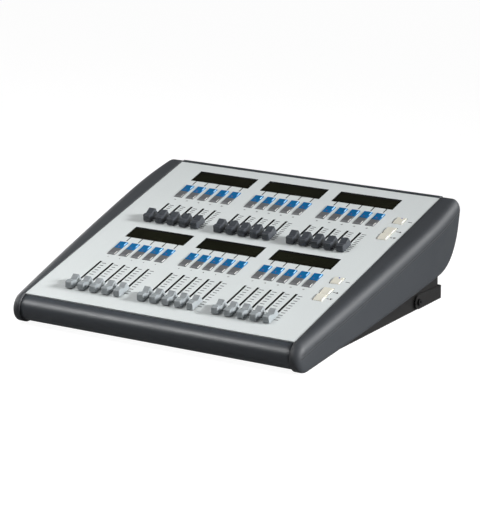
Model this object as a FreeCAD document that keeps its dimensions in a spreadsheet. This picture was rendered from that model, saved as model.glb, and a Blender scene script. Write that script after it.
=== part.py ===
import FreeCAD, Part
import os
import re
import Sketcher
from FreeCAD import Placement, Rotation, Vector

# Lighting control desk: a sloping panel of thirty faders between two flared cheeks, on a folded
# steel pan with a fold-out tilt stand. Millimetres. X runs to the right along the front rail, Y runs
# to the back, Z is up, and the origin is on the desk surface under the middle of the object.
#
# Most parts are placed from the panel datum: the top end of the first lower fader slot. On the panel,
# u is along X, v runs up the slope from the datum and w stands square to the panel face.
# In the side outlines y runs back from the datum and z is the height above the desk surface.

COLUMNS_PER_BANK = 5
BANKS = 3
CHEEK_SCREWS = [("-80", "28"), ("30", "52"), ("150", "70"), ("250", "104")]

SIZES = [
    ("panel_tilt", 15, "slope of the panel in degrees"),
    ("datum_y", -82.1, "panel datum, back from the middle of the object"),
    ("datum_z", 68, "panel datum, height above the desk surface"),
    ("panel_width", 411.7, "panel and pan width between the cheeks"),
    ("panel_front", 102.6, "panel below the datum, along the slope"),
    ("panel_rear", 280, "panel above the datum, along the slope"),
    ("panel_thickness", 2, "panel sheet"),
    ("first_column", -154.8, "X of the first fader slot"),
    ("column_pitch", 19, "fader to fader in a bank"),
    ("bank_pitch", 113, "bank to bank"),
    ("row_pitch", 166, "lower row to upper row along the slope"),
    ("slot_width", 2, "fader slot"),
    ("slot_spare", 4, "slot past the lever centre at each end of the travel"),
    ("lower_travel", 60, "travel of a lower fader"),
    ("upper_travel", 45, "travel of an upper fader"),
    ("upper_rest", 5, "upper faders rest this far above the bottom of their travel"),
    ("key_shift", 2, "key column centre, right of the slot"),
    ("key_width", 12.3, "playback key"),
    ("key_gap", 0.4, "gap all round a key"),
    ("grey_key_start", 19.5, "front edge of the grey key above the datum"),
    ("grey_key_length", 16.7, "grey key"),
    ("blue_key_start", 36.5, "front edge of the blue key above the datum"),
    ("blue_key_length", 16.4, "blue key"),
    ("key_skirt", 3.5, "key sides below the panel face"),
    ("stem_size", 3.6, "square stem under each key"),
    ("stem_depth", 7, "bottom of the stem below the panel face"),
    ("switch_size", 10, "square switch housing"),
    ("switch_top", 5.5, "top of the switch housing below the panel face"),
    ("switch_bottom", 10, "bottom of the switch housing below the panel face"),
    ("switch_hole", 4.2, "square hole that guides the stem"),
    ("board_thickness", 1.6, "circuit board"),
    ("display_left", 7.3, "display opening, left of the first slot in its bank"),
    ("display_width", 94.1, "display opening"),
    ("display_start", 67.5, "front edge of the display opening above the datum"),
    ("display_length", 28.1, "display opening along the slope"),
    ("window_recess", 0.8, "window face below the panel face"),
    ("window_thickness", 2, "smoked window"),
    ("window_gap", 0.15, "gap round a window"),
    ("module_rim", 3, "display module past the window on each side"),
    ("module_depth", 7, "display module"),
    ("page_width", 14.5, "page key"),
    ("page_length", 16.3, "page key along the slope"),
    ("page_column", 180.45, "X of the lower page keys"),
    ("page_column_step", 2, "upper page keys sit this far to the right"),
    ("page_row_step", 163.5, "lower to upper page keys along the slope"),
    ("page_top_start", 37, "front edge of the top page key above the datum"),
    ("page_middle_start", 9.8, "front edge of the middle page key above the datum"),
    ("page_bottom_start", -6.6, "front edge of the bottom page key above the datum"),
    ("nose_y", -93.8, "centre of the rail and cheek noses, back from the datum"),
    ("nose_z", 22.5, "centre of the rail and cheek noses, height"),
    ("rail_radius", 18.2, "front rail"),
    ("rail_wall", 2.5, "front rail"),
    ("rail_back", -92.1, "back of the front rail"),
    ("pan_front", -92, "outside of the pan's front wall"),
    ("pan_rear", 265, "outside of the pan's rear wall"),
    ("pan_bottom", 3, "underside of the pan"),
    ("pan_wall", 1.5, "pan sheet"),
    ("trim_rear", 277.5, "back of the rear trim"),
    ("trim_bottom", 112, "bottom of the rear trim"),
    ("trim_wall", 2, "rear trim"),
    ("trim_lip", 5, "rear trim behind the panel, along the slope"),
    ("trim_proud", 0.8, "rear trim above the panel face"),
    ("trim_round", 4, "rounded back edge of the rear trim"),
    ("cheek_radius", 20.5, "nose of a cheek seen from the side"),
    ("cheek_rise", 8.5, "slope of a cheek's lower edge in degrees"),
    ("cheek_rear", 278.5, "back of a cheek"),
    ("cheek_low_round", 62, "rear bottom corner of a cheek seen from the side"),
    ("cheek_top_back", 6, "rounding of a cheek's rear top edge"),
    ("cheek_corner", 11, "rounding of a cheek's rear outer edge"),
    ("cheek_wide", 34.2, "cheek past the panel where it is widest"),
    ("cheek_wide_at", 195, "widest part of a cheek, back from the datum"),
    ("cheek_front_curve", 4500, "radius of the outer face ahead of the widest part, in plan"),
    ("cheek_back_curve", 480, "radius of the outer face behind the widest part, in plan"),
    ("cheek_lean", 0.105, "growth in cheek width for each millimetre up"),
    ("cheek_round", 13, "rounding of the top and nose edges of a cheek"),
    ("cheek_edge", 4, "rounding of the lower edge of a cheek"),
    ("cheek_hollow", 10, "depth of the hollow inside a cheek"),
    ("groove_first", 12.5, "upper styling groove, straight below the panel plane"),
    ("groove_second", 16.5, "lower styling groove, straight below the panel plane"),
    ("groove_width", 0.8, "styling groove"),
    ("groove_start", 13, "inner end of the grooves, past the panel"),
    ("groove_depth", 0.6, "styling groove"),
    ("pivot_y", 207.3, "stand pivot, back from the datum"),
    ("pivot_z", 14, "stand pivot, height"),
    ("pivot_radius", 2.95, "shank of a pivot screw"),
    ("pivot_hole", 3, "hole the shank runs in"),
    ("pivot_head", 5, "head radius of a pivot screw"),
    ("washer_radius", 8, "pivot washer"),
    ("washer_thickness", 1, "pivot washer"),
    ("arm_radius", 9.7, "rounded end of a stand arm"),
    ("arm_thickness", 2.5, "stand plate"),
    ("stand_rear", 271, "back of the stand"),
    ("stand_top", 21.5, "top of the stand's cross bar above the desk surface"),
    ("stand_bend", 4, "outside bend radius of the stand's corners"),
    ("foot_radius", 8, "rubber foot"),
    ("foot_across", 185, "X of the feet"),
    ("foot_front", -50, "front feet, back from the datum"),
    ("foot_back", 243, "back feet, back from the datum"),
    ("screw_radius", 2, "shank of a cheek screw"),
    ("screw_head", 3.8, "head radius of a cheek screw"),
    ("screw_depth", 8, "cheek screw inside the cheek"),
    ("socket_height", 45, "centre of the rear sockets above the desk surface"),
    ("usb_across", 120, "X of the data socket"),
    ("usb_width", 13, "data socket"),
    ("usb_height", 12, "data socket"),
    ("power_across", 160, "X of the power socket"),
    ("power_radius", 5.5, "power socket"),
    ("socket_depth", 14, "rear sockets inside the pan"),
    ("control_width", 240, "control board"),
    ("control_length", 120, "control board"),
    ("control_front", 90, "front edge of the control board, back from the datum"),
    ("standoff_radius", 3, "board standoff"),
    ("standoff_height", 8, "board standoff"),
    ("cap_clearance", 1.2, "underside of a fader cap above the panel face"),
    ("cap_width", 10, "fader cap across its base"),
    ("cap_top_width", 8.4, "fader cap across its top"),
    ("cap_dip", 8, "radius of the finger dip in a cap"),
    ("cap_soften", 0.3, "rounding of a cap's edges"),
    ("lever_width", 1.2, "fader lever in the slot"),
    ("lever_length", 5, "fader lever along the slot"),
    ("lever_depth", 9, "bottom of the lever below the panel face"),
    ("track_width", 13, "fader track under the panel"),
    ("track_depth", 10, "fader track under the panel"),
    ("track_spare", 8, "fader track past the slot at each end"),
]
ALIASES = {name for name, _, _ in SIZES}

doc = FreeCAD.newDocument("lighting_desk")
sheet = doc.addObject("Spreadsheet::Sheet", "Sizes")
for row, (name, number, note) in enumerate(SIZES, 1):
    sheet.set(f"A{row}", name)
    sheet.set(f"B{row}", str(number))
    sheet.set(f"C{row}", note)
    sheet.setAlias(f"B{row}", name)
doc.recompute()


def bound(text):
    """Gives the expression with every sheet alias written out in full."""
    return re.sub(r"[a-z_]+", lambda m: "Sizes." + m[0] if m[0] in ALIASES else m[0], text)


def value(text):
    return float(sheet.evalExpression(bound(text)))


def tie(obj, **settings):
    """Binds properties of an object to expressions over the sheet."""
    for name, text in settings.items():
        obj.setExpression(name, bound(text))


def move(obj, x="0", y="0", z="0"):
    obj.setExpression(".Placement.Base.x", bound(x))
    obj.setExpression(".Placement.Base.y", bound(y))
    obj.setExpression(".Placement.Base.z", bound(z))


def chassis(obj, x="0"):
    """Places an object whose outline is drawn in y and z from the datum."""
    move(obj, x, "datum_y", "0")


def on_panel(obj, u="0", v="0", w="0"):
    """Places an object at u, v, w of the panel, turned to the panel's slope."""
    obj.Placement = Placement(Vector(), Rotation(Vector(1, 0, 0), value("panel_tilt")))
    obj.setExpression(".Placement.Rotation.Angle", bound("panel_tilt * 1 deg"))
    move(
        obj,
        u,
        f"datum_y + ({v}) * cos(panel_tilt) - ({w}) * sin(panel_tilt)",
        f"datum_z + ({v}) * sin(panel_tilt) + ({w}) * cos(panel_tilt)",
    )


def new_body(label):
    body = doc.addObject("PartDesign::Body", label)
    body.Label = label
    body.AllowCompound = True
    return body


def datum(body, role):
    return next(o for o in body.Origin.OriginFeatures if o.Role == role)


def new_sketch(body, role):
    """Starts a sketch on one of the body's own origin planes."""
    sketch = body.newObject("Sketcher::SketchObject", body.Name + "_sketch")
    sketch.AttachmentSupport = [(datum(body, role), "")]
    sketch.MapMode = "FlatFace"
    return sketch


def pin_point(sketch, item, end, across, along):
    for kind, text in (("DistanceX", across), ("DistanceY", along)):
        number = sketch.addConstraint(Sketcher.Constraint(kind, -1, 1, item, end, value(text)))
        sketch.setExpression(f"Constraints[{number}]", bound(text))


def outline(sketch, points, arcs=None):
    """Draws a closed outline through points, each a pair of expressions.

    arcs gives, for the edge that leaves a point, its radius and the side it bulges to: +1 to the right
    of the direction of travel, -1 to the left.
    """
    arcs = arcs or {}
    first = sketch.GeometryCount
    corners = [Vector(value(a), value(b), 0) for a, b in points]
    count = len(corners)
    for i, start in enumerate(corners):
        stop = corners[(i + 1) % count]
        if i in arcs:
            radius, side = value(arcs[i][0]), arcs[i][1]
            chord = stop - start
            rise = radius - (radius**2 - (chord.Length / 2) ** 2) ** 0.5
            out = Vector(chord.y, -chord.x, 0).normalize() * (rise * side)
            sketch.addGeometry(Part.Arc(start, start + chord * 0.5 + out, stop), False)
        else:
            sketch.addGeometry(Part.LineSegment(start, stop), False)
    for i, (across, along) in enumerate(points):
        # An arc drawn clockwise is stored the other way round, so the shared ends are looked up.
        here = first + i
        start_end = nearest_end(sketch, here, corners[i])
        before = first + (i - 1) % count
        before_end = nearest_end(sketch, before, corners[i])
        sketch.addConstraint(Sketcher.Constraint("Coincident", before, before_end, here, start_end))
        pin_point(sketch, here, start_end, across, along)
    for i, (radius, _) in arcs.items():
        number = sketch.addConstraint(Sketcher.Constraint("Radius", first + i, value(radius)))
        sketch.setExpression(f"Constraints[{number}]", bound(radius))


def nearest_end(sketch, item, corner):
    return min((1, 2), key=lambda end: (sketch.getPoint(item, end) - corner).Length)


def rectangle(sketch, left, front, right, back):
    outline(sketch, [(left, front), (right, front), (right, back), (left, back)])


def circle(sketch, across, along, radius):
    centre = Vector(value(across), value(along), 0)
    item = sketch.addGeometry(Part.Circle(centre, Vector(0, 0, 1), value(radius)), False)
    pin_point(sketch, item, 3, across, along)
    number = sketch.addConstraint(Sketcher.Constraint("Radius", item, value(radius)))
    sketch.setExpression(f"Constraints[{number}]", bound(radius))


def pad(body, sketch, length, midplane=False, reverse=False):
    feature = body.newObject("PartDesign::Pad", body.Name + "_pad")
    feature.Profile = sketch
    feature.Midplane = midplane
    feature.Reversed = reverse
    tie(feature, Length=length)
    doc.recompute()
    return feature


def cut_through(body, sketch):
    """Cuts a sketch both ways through the whole body."""
    feature = body.newObject("PartDesign::Pocket", body.Name + "_pocket")
    feature.Profile = sketch
    feature.Type = "ThroughAll"
    feature.Midplane = True
    doc.recompute()
    return feature


def pocket(body, sketch, depth, reverse=False):
    feature = body.newObject("PartDesign::Pocket", body.Name + "_pocket")
    feature.Profile = sketch
    feature.Reversed = reverse
    tie(feature, Length=depth)
    doc.recompute()
    return feature


def round_edges(body, radius, wanted):
    """Rounds the edges of the body that wanted(edge) picks."""
    base = body.Tip
    names = [f"Edge{i}" for i, edge in enumerate(base.Shape.Edges, 1) if wanted(edge)]
    feature = body.newObject("PartDesign::Fillet", body.Name + "_fillet")
    feature.Base = (base, names)
    tie(feature, Radius=radius)
    doc.recompute()
    return feature


def repeat(body, steps, originals=None):
    """Repeats features, or the whole body when none are named, along X."""
    multi = body.newObject("PartDesign::MultiTransform", body.Name + "_pattern")
    if originals:
        multi.Originals = originals
    else:
        multi.TransformMode = "Whole shape"
    runs = []
    for pitch, count in steps:
        run = body.newObject("PartDesign::LinearPattern", body.Name + "_run")
        run.Direction = (datum(body, "X_Axis"), [""])
        tie(run, Length=f"{pitch} * {count - 1}")
        run.Occurrences = count
        runs.append(run)
    multi.Transformations = runs
    body.Tip = multi
    doc.recompute()
    return multi


def group(label, members):
    compound = doc.addObject("Part::Compound", label)
    compound.Label = label
    compound.Links = members
    return compound


COLUMNS = ("column_pitch", COLUMNS_PER_BANK)
BANK_RUN = ("bank_pitch", BANKS)
LOWER_SLOT = ("-lower_travel - 2 * slot_spare", "0")
UPPER_SLOT = ("row_pitch - upper_travel - 2 * slot_spare", "row_pitch")
KEY_COLUMN = "first_column + key_shift"
PAGE_KEYS = {"top": "page_top_start", "middle": "page_middle_start", "bottom": "page_bottom_start"}
UNDER_PANEL = "datum_z - panel_thickness / cos(panel_tilt)"


def under_panel(y):
    """Gives the height of the panel's underside at y."""
    return f"{UNDER_PANEL} + ({y}) * tan(panel_tilt)"


def top_panel():
    body = new_body("top_panel")
    on_panel(body)
    sheet_outline = new_sketch(body, "XY_Plane")
    rectangle(sheet_outline, "-panel_width / 2", "-panel_front", "panel_width / 2", "panel_rear")
    pad(body, sheet_outline, "panel_thickness", reverse=True)

    column = new_sketch(body, "XY_Plane")
    for front, back in (LOWER_SLOT, UPPER_SLOT):
        rectangle(
            column, "first_column - slot_width / 2", front, "first_column + slot_width / 2", back
        )
    half = "(key_width / 2 + key_gap)"
    for row in ("0", "row_pitch"):
        rectangle(
            column,
            f"{KEY_COLUMN} - {half}",
            f"{row} + grey_key_start - key_gap",
            f"{KEY_COLUMN} + {half}",
            f"{row} + blue_key_start + blue_key_length + key_gap",
        )
    repeat(body, [COLUMNS, BANK_RUN], [cut_through(body, column)])

    displays = new_sketch(body, "XY_Plane")
    display_outlines(displays, "0")
    repeat(body, [BANK_RUN], [cut_through(body, displays)])

    pages = new_sketch(body, "XY_Plane")
    for across, along in (("0", "0"), ("page_column_step", "page_row_step")):
        middle = f"page_column + {across}"
        side = "(page_width / 2 + key_gap)"
        for start, stop in (
            ("page_top_start", "page_top_start"),
            ("page_bottom_start", "page_middle_start"),
        ):
            rectangle(
                pages,
                f"{middle} - {side}",
                f"{start} + {along} - key_gap",
                f"{middle} + {side}",
                f"{stop} + {along} + page_length + key_gap",
            )
    cut_through(body, pages)
    return body


def display_outlines(sketch, grow):
    """Draws the first bank's lower and upper display, grown on every side."""
    for row in ("0", "row_pitch"):
        rectangle(
            sketch,
            f"first_column - display_left - ({grow})",
            f"{row} + display_start - ({grow})",
            f"first_column - display_left + display_width + ({grow})",
            f"{row} + display_start + display_length + ({grow})",
        )


def display_part(label, grow, top, thickness):
    body = new_body(label)
    on_panel(body, w=f"-({top})")
    plates = new_sketch(body, "XY_Plane")
    display_outlines(plates, grow)
    repeat(body, [BANK_RUN], [pad(body, plates, thickness, reverse=True)])
    return body


def key_rows():
    blue = [
        ("blue_key_length", "-key_skirt"),
        ("blue_key_length", "3"),
        ("blue_key_length - 0.8", "4.2"),
        ("0.8", "3.6"),
        ("0", "2.4"),
        ("0", "-key_skirt"),
    ]
    grey = [
        ("grey_key_length", "-key_skirt"),
        ("grey_key_length", "3.2"),
        ("grey_key_length - 0.6", "3.8"),
        ("5.5", "3.4"),
        ("0", "1.6"),
        ("0", "-key_skirt"),
    ]
    rows = []
    for place, row in (("lower", "0"), ("upper", "row_pitch")):
        for colour, profile in (("blue", blue), ("grey", grey)):
            start = f"{colour}_key_start"
            length = f"{colour}_key_length"
            rows.append(dished_row(f"{colour}_buttons_{place}", row, start, length, profile))
    return rows


def dished_row(label, row, start, length, profile):
    """A row of keys with a shallow finger dish between the third and fourth profile points."""
    body = new_body(label)
    on_panel(body, u=KEY_COLUMN, v=row)
    side = new_sketch(body, "YZ_Plane")
    outline(side, [(f"{start} + {a}", b) for a, b in profile], {2: ("32", 1)})
    pad(body, side, "key_width", midplane=True)
    add_stem(body, start, length)
    repeat(body, [COLUMNS, BANK_RUN])
    return body


def add_stem(body, start, length):
    stem = new_sketch(body, "XY_Plane")
    middle = f"{start} + {length} / 2"
    rectangle(
        stem,
        "-stem_size / 2",
        f"{middle} - stem_size / 2",
        "stem_size / 2",
        f"{middle} + stem_size / 2",
    )
    pad(body, stem, "stem_depth", reverse=True)


def page_keys():
    """Six crowned page keys, all copies of one pattern key."""
    pattern = new_body("page_key_pattern")
    crown = [
        ("page_length", "-key_skirt"),
        ("page_length", "3.6"),
        ("page_length - 1", "4.6"),
        ("0.8", "2.8"),
        ("0", "1.8"),
        ("0", "-key_skirt"),
    ]
    side = new_sketch(pattern, "YZ_Plane")
    outline(side, crown, {2: ("24", -1)})
    pad(pattern, side, "page_width", midplane=True)
    add_stem(pattern, "0", "page_length")
    keys = []
    for place, across, along in (
        ("lower", "0", "0"),
        ("upper", "page_column_step", "page_row_step"),
    ):
        for name, start in PAGE_KEYS.items():
            key = group(f"page_key_{place}_{name}", [pattern])
            on_panel(key, u=f"page_column + {across}", v=f"{start} + {along}")
            keys.append(key)
    return keys


def fader_parts(place, profile, dip):
    """One cap and one lever, drawn with the lever on the origin."""
    cap = new_body(f"{place}_cap_pattern")
    side = new_sketch(cap, "YZ_Plane")
    outline(side, profile, {dip: ("cap_dip", 1)})
    pad(cap, side, "cap_width", midplane=True)
    taper = new_sketch(cap, "XZ_Plane")
    for sign in ("-1", "1"):
        outline(
            taper,
            [
                (f"{sign} * cap_width / 2", "cap_clearance + 1.5"),
                (f"{sign} * cap_top_width / 2", "14"),
                (f"{sign} * cap_width", "14"),
                (f"{sign} * cap_width", "cap_clearance + 1.5"),
            ],
        )
    cut_through(cap, taper)
    round_edges(cap, "cap_soften", lambda e: e.BoundBox.ZMax > value("cap_clearance") + 2)
    lever = doc.addObject("Part::Box", f"{place}_lever_pattern")
    tie(lever, Length="lever_width", Width="lever_length", Height="lever_depth + cap_clearance")
    move(lever, "-lever_width / 2", "-lever_length / 2", "-lever_depth")
    return [cap, lever]


def faders():
    lower = [
        ("12.2", "cap_clearance"),
        ("12.2", "3.6"),
        ("7.2", "10.4"),
        ("4.8", "11.4"),
        ("-9.4", "12.4"),
        ("-11.2", "12.2"),
        ("-12", "cap_clearance"),
    ]
    upper = [
        ("10.6", "cap_clearance"),
        ("10.6", "5"),
        ("8.6", "10.2"),
        ("6.2", "11.2"),
        ("-7.6", "11.6"),
        ("-10", "11.4"),
        ("-10.8", "cap_clearance"),
    ]
    made = []
    for place, profile, centre in (
        ("lower", lower, "-lower_travel - slot_spare"),
        ("upper", upper, "row_pitch - upper_travel - slot_spare + upper_rest"),
    ):
        members = fader_parts(place, profile, 3)
        for bank in range(BANKS):
            for column in range(COLUMNS_PER_BANK):
                number = bank * COLUMNS_PER_BANK + column + 1
                fader = group(f"fader_{place}_{number:02d}", members)
                across = f"first_column + {bank} * bank_pitch + {column} * column_pitch"
                on_panel(fader, u=across, v=centre)
                made.append(fader)
    return made


def fader_tracks():
    """Hollow tracks under the panel, each with a slot that guides its lever."""
    rows = []
    for place, (front, back) in (("lower", LOWER_SLOT), ("upper", UPPER_SLOT)):
        body = new_body(f"{place}_tracks")
        on_panel(body, w="-panel_thickness")
        box = new_sketch(body, "XY_Plane")
        rectangle(
            box,
            "first_column - track_width / 2",
            f"{front} - track_spare",
            "first_column + track_width / 2",
            f"{back} + track_spare",
        )
        pad(body, box, "track_depth", reverse=True)
        slot = new_sketch(body, "XY_Plane")
        rectangle(slot, "first_column - slot_width / 2", front, "first_column + slot_width / 2", back)
        cut_through(body, slot)
        repeat(body, [COLUMNS, BANK_RUN])
        rows.append(body)
    return group("fader_bodies", rows)


def square(sketch, across, along, side):
    rectangle(
        sketch,
        f"{across} - {side} / 2",
        f"{along} - {side} / 2",
        f"{across} + {side} / 2",
        f"{along} + {side} / 2",
    )


def key_switches():
    playback = []
    for row in ("0", "row_pitch"):
        for colour in ("grey", "blue"):
            middle = f"{row} + {colour}_key_start + {colour}_key_length / 2"
            playback.append((KEY_COLUMN, middle))
    pages = []
    for across, along in (("0", "0"), ("page_column_step", "page_row_step")):
        for start in PAGE_KEYS.values():
            pages.append((f"page_column + {across}", f"{start} + {along} + page_length / 2"))
    members = []
    for label, centres, steps in (
        ("playback_switches", playback, [COLUMNS, BANK_RUN]),
        ("page_switches", pages, []),
    ):
        body = new_body(label)
        on_panel(body, w="-switch_top")
        housing = new_sketch(body, "XY_Plane")
        for across, along in centres:
            square(housing, across, along, "switch_size")
            square(housing, across, along, "switch_hole")
        pad(body, housing, "switch_bottom - switch_top", reverse=True)
        if steps:
            repeat(body, steps)
        members.append(body)
    return group("key_switches", members)


def switch_boards():
    body = new_body("switch_boards")
    on_panel(body, w="-switch_bottom")
    boards = new_sketch(body, "XY_Plane")
    for row in ("0", "row_pitch"):
        rectangle(
            boards,
            "first_column - 12",
            f"{row} + grey_key_start - 4",
            "first_column + 2 * bank_pitch + 4 * column_pitch + 14",
            f"{row} + blue_key_start + blue_key_length + 4",
        )
    for row in ("0", "page_row_step"):
        rectangle(
            boards,
            "page_column - 12",
            f"{row} + page_bottom_start - 4",
            "page_column + 14",
            f"{row} + page_top_start + page_length + 4",
        )
    pad(body, boards, "board_thickness", reverse=True)
    return body


def side_prism(label, points, length, arcs=None, x="0", midplane=True):
    """A solid with an outline in y and z, drawn out along X."""
    body = new_body(label)
    chassis(body, x)
    side = new_sketch(body, "YZ_Plane")
    outline(side, points, arcs)
    pad(body, side, length, midplane=midplane)
    return body


def front_rail():
    """A round nosed channel that closes the front under the panel's edge."""
    body = new_body("front_rail")
    chassis(body)
    ring = new_sketch(body, "YZ_Plane")
    circle(ring, "nose_y", "nose_z", "rail_radius")
    circle(ring, "nose_y", "nose_z", "rail_radius - rail_wall")
    pad(body, ring, "panel_width", midplane=True)
    waste = new_sketch(body, "YZ_Plane")
    outline(
        waste,
        [
            ("rail_back", "0"),
            ("rail_back + 40", "0"),
            ("rail_back + 40", "90"),
            ("rail_back - 40", "90"),
            ("rail_back - 40", under_panel("rail_back - 40")),
            ("rail_back", under_panel("rail_back")),
        ],
    )
    cut_through(body, waste)
    return body


def base_pan():
    """An open pan: floor, four walls, socket openings, pivot holes and cheek screw holes."""
    body = side_prism(
        "base_pan",
        [
            ("pan_front", "pan_bottom"),
            ("pan_rear", "pan_bottom"),
            ("pan_rear", under_panel("pan_rear")),
            ("pan_front", under_panel("pan_front")),
        ],
        "panel_width",
    )
    inside = new_sketch(body, "YZ_Plane")
    outline(
        inside,
        [
            ("pan_front + pan_wall", "pan_bottom + pan_wall"),
            ("pan_rear - pan_wall", "pan_bottom + pan_wall"),
            ("pan_rear - pan_wall", "200"),
            ("pan_front + pan_wall", "200"),
        ],
    )
    hollow = pocket(body, inside, "panel_width - 2 * pan_wall")
    hollow.Midplane = True
    doc.recompute()
    sides = new_sketch(body, "YZ_Plane")
    circle(sides, "pivot_y", "pivot_z", "pivot_radius")
    for y, z in CHEEK_SCREWS:
        circle(sides, y, z, "screw_radius")
    cut_through(body, sides)
    sockets = new_sketch(body, "XZ_Plane")
    rectangle(
        sockets,
        "usb_across - usb_width / 2",
        "socket_height - usb_height / 2",
        "usb_across + usb_width / 2",
        "socket_height + usb_height / 2",
    )
    circle(sockets, "power_across", "socket_height", "power_radius")
    pocket(body, sockets, "pan_rear + 1")
    return body


def on_slope(v, w):
    """Side outline point at v, w of the panel."""
    return (
        f"({v}) * cos(panel_tilt) - ({w}) * sin(panel_tilt)",
        f"datum_z + ({v}) * sin(panel_tilt) + ({w}) * cos(panel_tilt)",
    )


def rear_trim():
    """A folded strip behind the panel that stands a little proud and covers the rear wall's top."""
    lip = on_slope("panel_rear + trim_lip", "trim_proud")
    return side_prism(
        "rear_trim",
        [
            ("pan_rear", "trim_bottom"),
            ("pan_rear + trim_wall", "trim_bottom"),
            ("trim_rear", "trim_bottom + 8"),
            ("trim_rear", f"{lip[1]} - trim_round"),
            lip,
            on_slope("panel_rear", "trim_proud"),
            on_slope("panel_rear", "-panel_thickness"),
            ("pan_rear", under_panel("pan_rear")),
        ],
        "panel_width",
        {3: ("trim_round", 1)},
    )


def cheek_outline(inset):
    """Side outline of a cheek: a round nose that runs into the upper and lower edges."""
    radius = f"(cheek_radius - {inset})"
    rear = f"(cheek_rear - {inset})"
    return [
        (
            f"nose_y - {radius} * sin(panel_tilt)",
            f"nose_z + {radius} * cos(panel_tilt)",
        ),
        (
            f"nose_y + {radius} * sin(cheek_rise)",
            f"nose_z - {radius} * cos(cheek_rise)",
        ),
        (rear, f"nose_z - {radius} / cos(cheek_rise) + ({rear} - nose_y) * tan(cheek_rise)"),
        (rear, f"nose_z + {radius} / cos(panel_tilt) + ({rear} - nose_y) * tan(panel_tilt)"),
    ]


def along_x(edge):
    box = edge.BoundBox
    return box.XLength > box.YLength + box.ZLength


def cheek_plan(label, inset):
    """A tall block whose outer side is a cheek's outer face: curved in plan and leaning out."""
    wide = f"(cheek_wide - {inset})"

    def side_at(y, radius):
        return f"{wide} - ({radius} - sqrt({radius} * {radius} - ({y} - cheek_wide_at)^2))"

    body = new_body(label + "_plan")
    plan = new_sketch(body, "XY_Plane")
    outline(
        plan,
        [
            ("-150", "-180"),
            (side_at("-180", "cheek_front_curve"), "-180"),
            (wide, "cheek_wide_at"),
            (side_at("330", "cheek_back_curve"), "330"),
            ("-150", "330"),
        ],
        {1: ("cheek_front_curve", 1), 2: ("cheek_back_curve", 1)},
    )
    pad(body, plan, "600", midplane=True)
    lean = "atan(cheek_lean)"
    body.Placement = Placement(Vector(), Rotation(Vector(0, 1, 0), value(lean)))
    body.setExpression(".Placement.Rotation.Angle", bound(lean))
    top = "nose_z + cheek_radius / cos(panel_tilt) + (cheek_wide_at - nose_y) * tan(panel_tilt)"
    move(body, "panel_width / 2", "datum_y", top)
    return body


def cheek_blank(label, inset):
    """A flared cheek with rounded edges, every face moved in by inset."""
    prism = side_prism(
        label + "_prism",
        cheek_outline(inset),
        "60",
        {0: (f"cheek_radius - {inset}", 1)},
        x="panel_width / 2",
        midplane=False,
    )
    back = value(f"cheek_rear - {inset}")
    middle = value("nose_z + (cheek_rear - nose_y) * tan(panel_tilt)") - 20
    round_edges(
        prism,
        f"cheek_low_round - {inset}",
        lambda e: along_x(e) and e.CenterOfMass.y > back - 1 and e.CenterOfMass.z < middle,
    )

    shaped = doc.addObject("Part::Common", label + "_shaped")
    shaped.Base = prism
    shaped.Tool = cheek_plan(label, inset)
    doc.recompute()

    back += value("datum_y")
    soft = value(f"cheek_round - {inset}")
    crisp = value("cheek_edge")
    corner_round = value(f"cheek_corner - {inset}")
    low_front = value(f"nose_z - (cheek_radius - {inset}) / cos(cheek_rise)")

    def rim_radius(point, other):
        """Rounding where a rim edge that runs on to other passes point."""
        run = point.y - value("datum_y + nose_y")
        at_back = point.y > back - 1
        if at_back and (other.y > back - 1 or point.z < middle):
            return corner_round
        if not at_back and point.z < low_front + run * value("tan(cheek_rise)") + 6:
            return crisp
        return soft

    # The outer face is two faces that meet smoothly, so the seam between them is left alone.
    outer = sorted(shaped.Shape.Faces, key=lambda f: f.CenterOfMass.x)[-2:]
    edges = []
    for number, edge in enumerate(shaped.Shape.Edges, 1):
        start = edge.valueAt(edge.FirstParameter)
        stop = edge.valueAt(edge.LastParameter)
        if sum(edge.isSame(rim) for face in outer for rim in face.Edges) == 1:
            edges.append((number, rim_radius(start, stop), rim_radius(stop, start)))
        elif along_x(edge) and min(start.y, stop.y) > back - 1 and start.z > middle:
            top_back = value(f"cheek_top_back - {inset}")
            edges.append((number, top_back, top_back))
    rounded = doc.addObject("Part::Fillet", label + "_rounded")
    rounded.Base = shaped
    rounded.Edges = edges
    doc.recompute()
    return rounded


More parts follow.
